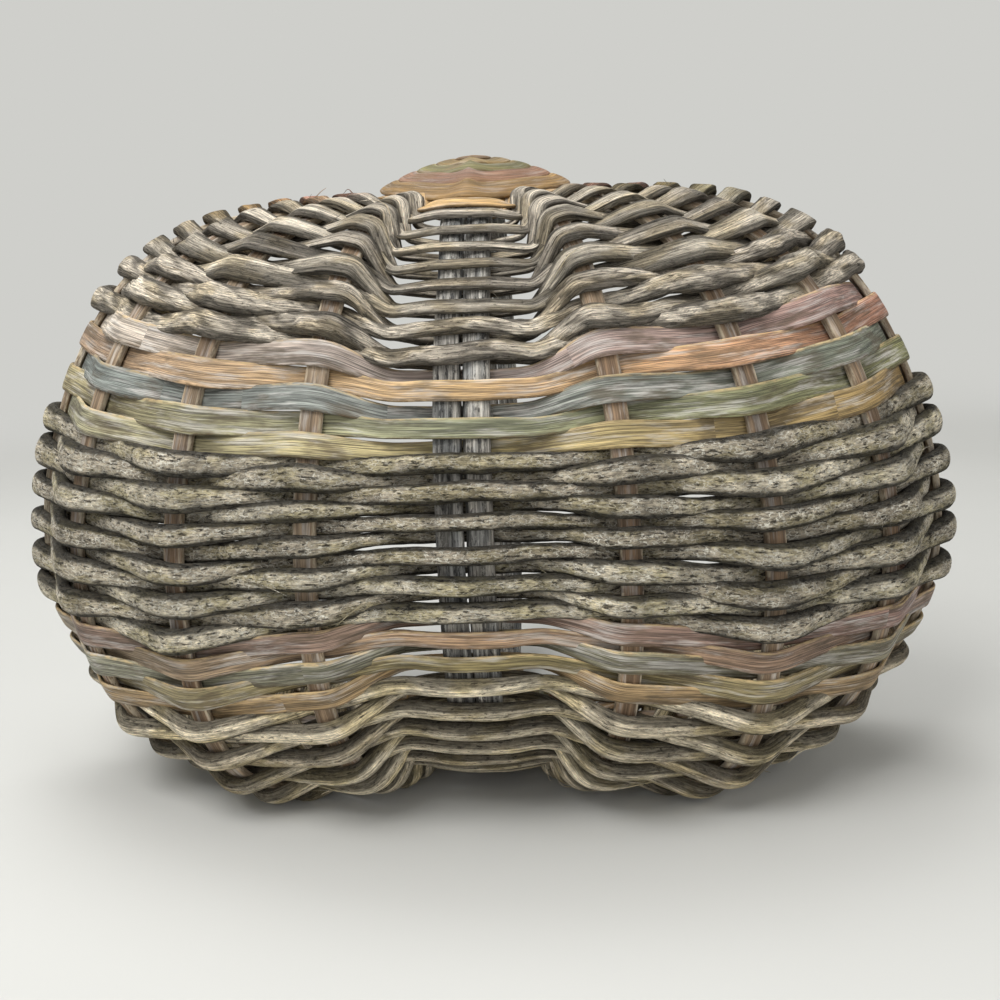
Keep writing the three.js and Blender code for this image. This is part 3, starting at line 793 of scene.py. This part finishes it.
for look in vineLooks.values():
    barkMaterial(look["slot"], look["material"])
for slotName, colours in reedLooks.values():
    if slotName not in materials:
        reedMaterial(slotName, reedLook)


def fadedDye(colour):  # years of dust and sun
    return linear(0.8 * np.array(colour) + 0.18 * np.mean(colour))


def reedColours(colours, x):
    stops = np.array([fadedDye(c) for c in colours])
    at = np.clip((x + reedBody["reach"]) / (2 * reedBody["reach"]), 0.0, 1.0)
    return columnsAt(at, np.linspace(0, 1, len(stops)), stops)


def tonesAlong(s, span, seed, colours):  # drifts from one colour to the next
    base = np.array([linear(c) for c in colours])
    pick = (softNoise(s / span, 0.5, seed) * 0.5 + 0.5) * (len(base) - 1)
    return columnsAt(pick, np.arange(len(base)), base)


def swellAlong(s, seed):
    return drift(s, 70.0, 0.09, seed) + 0.06 * softNoise(s / 22.0, 0.5, seed + 5)


fibre = {  # loose bark hairs of a vine, mm
    "section": (6, 2.0), "shortest": 8.0, "longest": 26.0, "radius": 0.24, "lift": 3.0, "lean": 4.0,
}
splice = {  # where a new reed starts on top of the old one, mm
    "length": 46.0, "lift": 1.0, "thickness": 1.1, "width": 0.93, "section": (16, 3.2),
}


def addFibres(bundle, s, path, normals, along, thickness, dyeRows, seed, many):
    for k in range(many):
        size = fibre["shortest"] + (fibre["longest"] - fibre["shortest"]) * chance(seed, 3 * k)
        first = int(chance(seed, 3 * k + 1) * (len(s) - 40)) + 8
        last = min(first + int(size / weave["step"]), len(s) - 6)
        if last - first < 4:
            continue
        t = np.linspace(0.0, 1.0, last - first)[:, None]
        n = unit(normals[first:last])
        lean = (2.0 * chance(seed, 3 * k + 2) - 1.0) * fibre["lean"]
        away = thickness[first:last, None] / 2 + fibre["lift"] * t ** 2
        hair = path[first:last] + n * away + along[first:last] * (lean * t ** 1.5)
        thin = 2 * (fibre["radius"] * (1.3 - t[:, 0]))
        tone = dyeRows[first:last] * (1.5 if k % 2 else 0.6)
        sweep(bundle, s[first:last], hair, n, thin, thin, fibre["section"], 5.0 * k, tone, evenRelief)


def addSplices(bundle, s, path, normals, width, dyeRows, seed, many):
    for k in range(many):
        first = int((0.12 + 0.7 * chance(seed, 50 + k)) * len(s))
        last = min(first + int(splice["length"] / weave["step"]), len(s) - 4)
        t = np.linspace(0.0, 1.0, last - first)
        n = unit(normals[first:last])
        over = path[first:last] + n * (splice["lift"] * smoothStep(4.0 * np.minimum(t, 1.0 - t)))[:, None]
        tone = dyeRows[first:last] * (1.08 - 0.16 * chance(seed, 60 + k))
        wide = splice["width"] * width[first:last]
        sweep(bundle, s[first:last], over, n, wide, splice["thickness"], splice["section"], 71.0 * k, tone,
              reedRelief(seed + k))


def makeVine(strand, index, seed):
    look = {**vineBody, **vineLooks[strand["band"]["name"]], **strand["own"]}
    s, path, normals, width, along, onRim = strandPath(strand, index % 2 == 0)
    fromSpine = np.abs(path[:, :1])
    swell = swellAlong(s, seed)
    relief = vineRelief(seed, look["rough"], look["shag"])
    least, more = look["width"]
    width = width * swell * (least + more * chance(seed, 90))
    dyeRows = tonesAlong(s, look["toneSpan"], seed + 7, look["colours"])
    dyeRows = dyeRows * drift(s, 60.0, 0.14, seed + 9)[:, None]
    least, more = look["tone"]
    dyeRows = dyeRows * (least + more * chance(seed, 91))
    if look["split"]:  # and bleached across the spine
        relief = splitRelief(seed, look["rough"])
        bleached = smoothStep((look["bleachTo"] - fromSpine) / look["blend"])
        dyeRows = dyeRows * (1.0 + look["bleach"] * bleached)
    if strand["name"] in sideDyes:
        leftDye, rightDye, dyedFrom = sideDyes[strand["name"]]
        beside = np.where(path[:, :1] < 0.0, fadedDye(leftDye)[None, :], fadedDye(rightDye)[None, :])
        dyed = smoothStep((fromSpine - dyedFrom) / look["blend"])
        dyeRows = dyeRows * (1.0 - dyed) + beside * dyed
    thickness = np.clip(look["flat"] * width, look["thinnest"], look["thickest"]) * swell
    thickness = thickness * (1.0 - (1.0 - weave["press"]) * onRim)
    # painted shade along both sides of the vine, less where it is pressed round the rim
    deep, pressedOut = look["crease"]
    bundle = Bundle()
    sweep(bundle, s, path, normals, width, thickness, look["section"], 37.0 * index, dyeRows, relief,
          ends=look["whittled"], crease=deep - pressedOut * onRim)
    addFibres(bundle, s, path, normals, along, thickness, dyeRows, seed, look["fibres"])
    bundle.build(strand["name"], "_bark", look["slot"])


def makeReed(strand, index, seed):
    slotName, colours = reedLooks[strand["name"]]
    s, path, normals, width = strandPath(strand, index % 2 == 0)[:4]
    dyeRows = reedColours(colours, path[:, 0]) * drift(s, 45.0, 0.1, seed + 9)[:, None]
    width = width * (1.0 + reedBody["swell"] * (swellAlong(s, seed) - 1.0))
    bundle = Bundle()
    sweep(bundle, s, path, normals, width, strand["band"]["tall"], reedBody["section"], 37.0 * index, dyeRows,
          reedRelief(seed), ends=reedBody["whittled"])
    addSplices(bundle, s, path, normals, width, dyeRows, seed, 1 if index % 2 else 2)
    bundle.build(strand["name"], "_split", slotName)


for index, strand in enumerate(strands):
    makeStrand = makeVine if strand["band"]["kind"] == "vine" else makeReed
    makeStrand(strand, index, 100 + 17 * index)
print("weaving made")

# ribs and rim, split staves
stave = {
    "slot": "rib_stave",
    "colours": [(146, 123, 98), (128, 103, 79), (162, 142, 117), (137, 113, 89)],
    "toneSpan": 60.0,  # mm
    "step": 1.6,
    "section": (20, 5.0),
    "rimSection": (22, 4.0),
    "rimBend": 1.5,
    "material": dict(
        reedLook, fibreScale=2.0, broadScale=0.55, fibreDark=0.66, fibrePale=1.24, stain=(104, 82, 60),
        stainAmount=0.6, edge=(212, 198, 172), underEdge=(204, 190, 164), edgeAmount=0.85, roughness=0.68,
        bump=0.0005,
    ),
}
reedMaterial(stave["slot"], stave["material"])
for side, sideName in ((-1, "left"), (1, "right")):
    for i in range(len(ribPlan)):
        j = spineIndex + side * (i + 1)
        line = members[j]["line"]
        tip = ribTip(line["angle"])
        d = np.arange(tip, line["length"] - tip, stave["step"])
        f = (d - members[j]["start"]) / (line["length"] - 2 * members[j]["start"])
        path = pointAt(line, d)
        normals = np.array([memberFrame(j, float(np.clip(x, 0.0, 1.0)))[2] for x in f])
        seed = 900 + 31 * j
        width = ribWidthAt(line, d) * drift(d, 30.0, 0.03, seed)
        dyeRows = tonesAlong(d, stave["toneSpan"], seed, stave["colours"])
        bundle = Bundle()
        sweep(bundle, d - d[0], path, normals, width, basket["ribThickness"], stave["section"], 53.0 * j,
              dyeRows, reedRelief(seed))
        bundle.build("rib_" + sideName + "_" + str(i + 1), "_stave", stave["slot"])


def loopPath(points, step, sigma):
    s, made = resample(points, step, loop=True)
    return s, gaussSmooth(made, sigma, loop=True)


rimRight = members[lastMember]["line"]["points"]
rimLeft = members[0]["line"]["points"][::-1]
s, path = loopPath(np.vstack([rimRight, rimLeft[1:-1]]), stave["step"], stave["rimBend"])
outwards = np.cross(loopTangent(path), np.array([0.0, 1.0, 0.0]))
dyeRows = tonesAlong(s, stave["toneSpan"], 71, stave["colours"])
bundle = Bundle()
sweep(bundle, s, path, outwards, basket["rimWidth"], basket["rimThickness"], stave["rimSection"], 11.0,
      dyeRows, reedRelief(72), loop=True)
bundle.build("rim_hoop", "_stave", stave["slot"])
print("ribs and rim made")

# the two hoop rods: spine and handle
rod = {
    "slot": "hoop_rod",
    "colours": [(152, 149, 142), (128, 126, 120), (166, 162, 154), (138, 132, 122)],
    "toneSpan": 60.0,  # mm
    "step": 1.5,
    "section": (24, 2.8),
    "bend": 3.0,
    "rough": 1.1,
    "material": dict(
        barkLook, mottleLong=0.06, mottleScale=0.7, mottleDark=0.4, fibreLong=0.03, fibreScale=1.6,
        fibreDark=0.46, fibrePale=1.42, tint=(196, 204, 214), fleck=(220, 216, 206), fleckScale=0.7,
        fleckAmount=0.4, lineAmount=0.2, dark=(36, 36, 38), pitScale=0.6, crease=0.4, bump=0.0007,
    ),
}
barkMaterial(rod["slot"], rod["material"])


def freePart(line):  # between the two crossings
    return line["points"][(line["dist"] > held) & (line["dist"] < line["length"] - held)]


for side, sideName in ((-1, "left"), (1, "right")):
    points = np.vstack([freePart(spineLine), freePart(handleLine)[::-1]])
    s, path = loopPath(points, rod["step"], rod["bend"])
    outwards = np.cross(np.array([1.0, 0.0, 0.0]), loopTangent(path))
    path = path + np.array([side * basket["hoopSpacing"] / 2, 0.0, 0.0])
    seed = 700 + side
    width = basket["hoopWidth"] * drift(s, 50.0, 0.035, seed)
    dyeRows = tonesAlong(s, rod["toneSpan"], seed, rod["colours"])
    bundle = Bundle()
    sweep(bundle, s, path, outwards, width, basket["hoopThickness"], rod["section"], 400.0 + 90 * side,
          dyeRows, splitRelief(seed, rod["rough"]), loop=True)
    bundle.build("handle_hoop_" + sideName, "_rod", rod["slot"])
print("hoop rods made")

# the lashings of the two crossings: ribbon turns from the middle outwards, and wraps behind each arm
eye = {
    "slot": "lashing_reed",
    "turns": 5,
    "firstTurn": 0.45,  # share of the spacing from the middle
    "step": 1.0,
    "bend": 1.6,
    "section": (18, 2.4),
    "ribbon": 9.2,  # mm wide
    "corner": 1.45,  # 2 is a straight-sided diamond, 1 a round
    "frontReach": 1.34,  # it runs further down the spine than round the handle
    "thickness": 2.4,
    "rise": 5.6,  # mm from the outer turn to the middle
    "footRise": 2.0,  # the lower eye is pressed flat
    "seatLift": 0.6,
    "dome": 1.6,  # power of the fall from the middle outwards
    "droopRim": 6.4,  # mm, how far the corners on the rim sink
    "droopSpine": 11.6,
    "droopHandle": 3.6,
    "ridge": 1.5,  # mm, over the arms
    "ridgeWidth": 4.0,
    "wrapGap": 0.9,  # mm off an arm
    "wrapBend": 1.6,
    "wrapTuck": 0.8,  # its ends stay so far below the eye
    "wrapWidth": 0.98,  # share of the spacing
    "colours": [(130, 98, 58), (124, 103, 60), (112, 106, 65), (136, 101, 78), (141, 111, 66)],
    # the dark under-edge paints shade along each ribbon's lower edge, the lines between the turns
    "material": dict(
        reedLook, fibreDark=0.74, fibrePale=1.18, dustAmount=0.2, edge=(206, 172, 116), stain=(120, 90, 54),
    ),
}
reedMaterial(eye["slot"], eye["material"])


def eyeHeight(x, y, r, seat, rise):
    share = np.clip(r / basket["lashReach"], 0.0, 1.2)
    away = np.maximum(np.hypot(x, y), 1e-6)
    towardsRim = (x / away) ** 2
    droopEnd = np.where(y < 0, eye["droopSpine"], eye["droopHandle"])
    droop = eye["droopRim"] * towardsRim + droopEnd * (1 - towardsRim)
    return seat + eye["seatLift"] + rise * (1 - share ** eye["dome"]) - droop * share ** 2


def eyeLashing(flip, name):
    bundle = Bundle()
    turnOver = np.array([-1.0, 1.0, -1.0]) if flip else np.ones(3)
    seat = footSeat if flip else crownSeat
    rise = eye["footRise"] if flip else eye["rise"]

    def addRibbon(points, normals, width, colour, seed, loop):
        columns = np.hstack([points, normals, np.broadcast_to(width, len(points))[:, None]])
        s, made = resample(columns, eye["step"], loop=loop)
        made = gaussSmooth(made, eye["bend"], loop=loop)
        path = made[:, :3] * turnOver
        outward = unit(made[:, 3:6]) * turnOver
        dyeRows = linear(colour)[None, :] * drift(s, 16.0, 0.16, seed)[:, None]
        wide = made[:, 6] * drift(s, 20.0, 0.05, seed + 3)
        sweep(bundle, s, path, outward, wide, eye["thickness"], eye["section"], 29.0 * seed, dyeRows,
              reedRelief(seed), loop=loop)

    def addTurn(i, r):
        theta = np.linspace(0, 2 * math.pi, 241)[:-1]
        c, sn = np.cos(theta), np.sin(theta)
        x = r * np.sign(c) * np.abs(c) ** eye["corner"]
        y = r * np.sign(sn) * np.abs(sn) ** eye["corner"]
        ridge = np.exp(-((np.minimum(np.abs(x), np.abs(y)) / eye["ridgeWidth"]) ** 2))
        z = eyeHeight(x, y, r, seat, rise) + eye["ridge"] * ridge
        y = np.where(y < 0, y * eye["frontReach"], y)
        tilt = (eyeHeight(x, y, r - 1.0, seat, rise) - eyeHeight(x, y, r + 1.0, seat, rise)) / 2.0
        away = np.maximum(np.hypot(x, y), 1e-6)
        slope = np.array([tilt * x / away, tilt * y / away, np.ones_like(x)]).T
        wide = eye["ribbon"] * np.where(y < 0, 1 + (eye["frontReach"] - 1) * (y / away) ** 2, 1)
        addRibbon(np.stack([x, y, z], axis=1), unit(slope), wide, eye["colours"][i], 40 + i, True)

    def addWrap(i, r, sign, alongX):  # shows on the inside of the basket
        half = (basket["rimWidth"] / 2 if alongX else halfPair) + eye["wrapGap"]
        tall = basket["rimThickness"] if alongX else basket["hoopThickness"]
        line = members[lastMember]["line"] if alongX else (spineLine if sign < 0 else handleLine)
        back = max(r * 1.02, basket["wrapEnd"])
        arm = pointAt(line, back if flip else line["length"] - back)
        centreZ = abs(arm[2])
        reach = min(r, abs(arm[0]) if alongX else abs(arm[1]))
        spot = (reach, half) if alongX else (half, sign * reach)
        endTurn = (half ** power + reach ** power) ** (1.0 / power)  # the turn that covers its ends
        topZ = float(eyeHeight(spot[0], spot[1], endTurn, seat, rise)) - eye["wrapTuck"]
        isFront = sign < 0 and not alongX  # the eye covers all of that arm
        isLast = i == eye["turns"] - 1 and not isFront  # goes right round, the rest end under the eye
        low = centreZ - tall / 2 - eye["wrapGap"]
        high = centreZ + tall / 2 + eye["wrapGap"]
        bend = low + eye["wrapBend"]
        side = high - eye["wrapBend"] if isLast else topZ
        ring = [(-1.0, side, -1.0, 0.0), (-1.0, bend, -1.0, -0.4), (-0.8, low, -0.4, -1.0)]
        ring += [(0.8, low, 0.4, -1.0), (1.0, bend, 1.0, -0.4), (1.0, side, 1.0, 0.0)]
        if isLast:
            ring += [(0.8, high, 0.4, 1.0), (-0.8, high, -0.4, 1.0)]
        across, height, outA, outZ = np.array(ring).T
        along = np.full(len(ring), sign * reach)
        points = np.stack([along, half * across, height], axis=1)
        normals = np.stack([0.0 * along, outA, outZ], axis=1)
        if not alongX:
            points = points[:, [1, 0, 2]]
            normals = normals[:, [1, 0, 2]]
        addRibbon(points, normals, spacing * eye["wrapWidth"], eye["colours"][i], 80 + 10 * i + sign, isLast)

    spacing = basket["lashReach"] / eye["turns"]
    power = 2.0 / eye["corner"]
    radii = [spacing * (i + eye["firstTurn"]) for i in range(eye["turns"])]
    for i, r in enumerate(radii):
        addTurn(i, r)
    for alongX in (False, True):
        for sign in (-1, 1):
            for i in range(1, eye["turns"]):
                addWrap(i, radii[i], sign, alongX)
    bundle.build(name, "_ribbon", eye["slot"])


eyeLashing(False, "top_eye_lashing")
eyeLashing(True, "bottom_eye_lashing")
print("lashings made")

# floor and backdrop in one sweep
studio = {
    "colour": (200, 200, 196),
    "farColour": (207, 207, 203),  # what the paper and the room fade to
    "fadeFrom": 0.7,  # m from the basket
    "fadeTo": 1.3,
    "front": -1.3,
    "back": 0.95,
    "bend": 0.6,
    "height": 2.6,
    "side": 2.6,
}


def seenDirectly(tree):  # 1 for what the camera, a gloss or a glass shows
    kindOfRay = addNode(tree, "ShaderNodeLightPath")
    seen = mathOf(tree, "MAXIMUM", kindOfRay.outputs["Is Camera Ray"], kindOfRay.outputs["Is Glossy Ray"])
    return mathOf(tree, "MAXIMUM", seen, kindOfRay.outputs["Is Transmission Ray"])


def mixShaders(tree, factor, first, second, output):
    either = addNode(tree, "ShaderNodeMixShader")
    tree.links.new(factor, either.inputs[0])
    tree.links.new(first.outputs[0], either.inputs[1])
    tree.links.new(second.outputs[0], either.inputs[2])
    tree.links.new(either.outputs[0], tree.nodes[output].inputs["Surface"])


def makeStudio():
    profile = [(studio["front"], 0.0), (studio["back"], 0.0)]
    for a in np.linspace(0.0, math.pi / 2, 17)[1:]:
        profile.append((studio["back"] + studio["bend"] * math.sin(a), studio["bend"] * (1 - math.cos(a))))
    profile.append((studio["back"] + studio["bend"], studio["height"]))
    verts = []
    for y, z in profile:
        verts += [(-studio["side"], y, z), (studio["side"], y, z)]
    faces = [(2 * i, 2 * i + 1, 2 * i + 3, 2 * i + 2) for i in range(len(profile) - 1)]
    mesh = bpy.data.meshes.new("studio_sweep")
    mesh.from_pydata(verts, [], faces)
    mesh.polygons.foreach_set("use_smooth", np.ones(len(faces), dtype=bool))
    tree, shader = newMaterial("studio_paper")
    place = addNode(tree, "ShaderNodeTexCoord")
    mottle = noiseOf(tree, place.outputs["Object"], 2.0, 3.0, 0.5)
    shade = rangeOf(tree, mottle, 0.3, 0.7, 0.97, 1.03)
    colour = shadeBy(tree, rgba(studio["colour"]), shade)
    tree.links.new(colour, shader.inputs["Base Color"])
    shader.inputs["Roughness"].default_value = 0.9
    shader.inputs["Specular IOR Level"].default_value = 0.1
    far = addNode(tree, "ShaderNodeEmission", Color=rgba(studio["farColour"]), Strength=1.0)
    away = addNode(tree, "ShaderNodeVectorMath", operation="LENGTH")
    tree.links.new(place.outputs["Object"], away.inputs[0])
    fade = rangeOf(tree, away.outputs["Value"], studio["fadeFrom"], studio["fadeTo"], 0.0, 1.0)
    mixShaders(tree, mathOf(tree, "MULTIPLY", fade, seenDirectly(tree)), shader, far, "Material Output")
    mesh.materials.append(materials["studio_paper"])
    addObject("studio_sweep", mesh)


makeStudio()


# light
def placeAt(made, at, right, up, back):
    turned = Matrix(np.stack([right, up, back], axis=1).tolist()).to_4x4()
    made.matrix_world = Matrix.Translation(at) @ turned


lamps = [  # name, place and aim in m, size in m, watts
    ("key_panel", (-0.45, -0.7, 1.15), (0.0, 0.0, 0.12), 0.7, 13.0),
    ("top_panel", (-0.1, 0.0, 1.2), (0.0, 0.0, 0.12), 0.8, 5.0),
    ("front_panel", (-0.3, -1.5, 0.5), (0.0, 0.0, 0.12), 1.2, 5.2),
    ("right_panel", (1.2, -0.9, 0.7), (0.0, 0.0, 0.12), 0.9, 6.0),
    ("backdrop_panel", (-0.4, 0.7, 2.0), (-0.1, 1.5, 0.6), 1.2, 19.0),
]
for lampName, at, aim, size, watts in lamps:
    data = bpy.data.lights.new(lampName, "AREA")
    data.shape = "SQUARE"
    data.size = size
    data.energy = watts
    back = -unit(np.array(aim) - np.array(at))
    right = unit(np.cross(np.array([0.0, 0.0, 1.0]) + 1e-4, back))
    placeAt(addObject(lampName, data), at, right, np.cross(back, right), back)
world = bpy.data.worlds.new("soft_room")
bpy.context.scene.world = world
world.use_nodes = True
room = world.node_tree
soft = room.nodes["Background"]
soft.inputs["Color"].default_value = (1.0, 0.995, 0.98, 1.0)
soft.inputs["Strength"].default_value = 0.16
# what the camera sees past the floor
shown = addNode(room, "ShaderNodeBackground", Color=rgba(studio["farColour"]))
mixShaders(room, seenDirectly(room), soft, shown, "World Output")
bpy.context.scene.view_settings.view_transform = "Standard"
print("light set")

# camera at the photograph's angle
view = {
    "height": 10.2, "turn": 3.7, "roll": -1.7,  # degrees
    "distance": 0.530,  # m from the middle of the basket
    "lens": 44.14, "shiftX": 0.0136, "shiftY": -0.032,
}
tilt = math.radians(view["height"])
turn = math.radians(view["turn"])
roll = math.radians(view["roll"])
forward = np.array([-math.sin(turn), math.cos(turn) * math.cos(tilt), -math.cos(turn) * math.sin(tilt)])
right = np.array([math.cos(turn), math.sin(turn) * math.cos(tilt), -math.sin(turn) * math.sin(tilt)])
up = np.array([0.0, math.sin(tilt), math.cos(tilt)])
rolledRight = right * math.cos(roll) + up * math.sin(roll)
rolledUp = -right * math.sin(roll) + up * math.cos(roll)
cameraData = bpy.data.cameras.new("photo_camera")
cameraData.lens = view["lens"]
cameraData.sensor_width = 36.0
cameraData.shift_x = view["shiftX"]
cameraData.shift_y = view["shiftY"]
cameraData.clip_start = 0.02
camera = addObject("photo_camera", cameraData)
place = basketMiddle / 1000.0 - view["distance"] * forward
placeAt(camera, place.tolist(), rolledRight, rolledUp, -forward)
bpy.context.scene.camera = camera

bpy.context.view_layer.update()
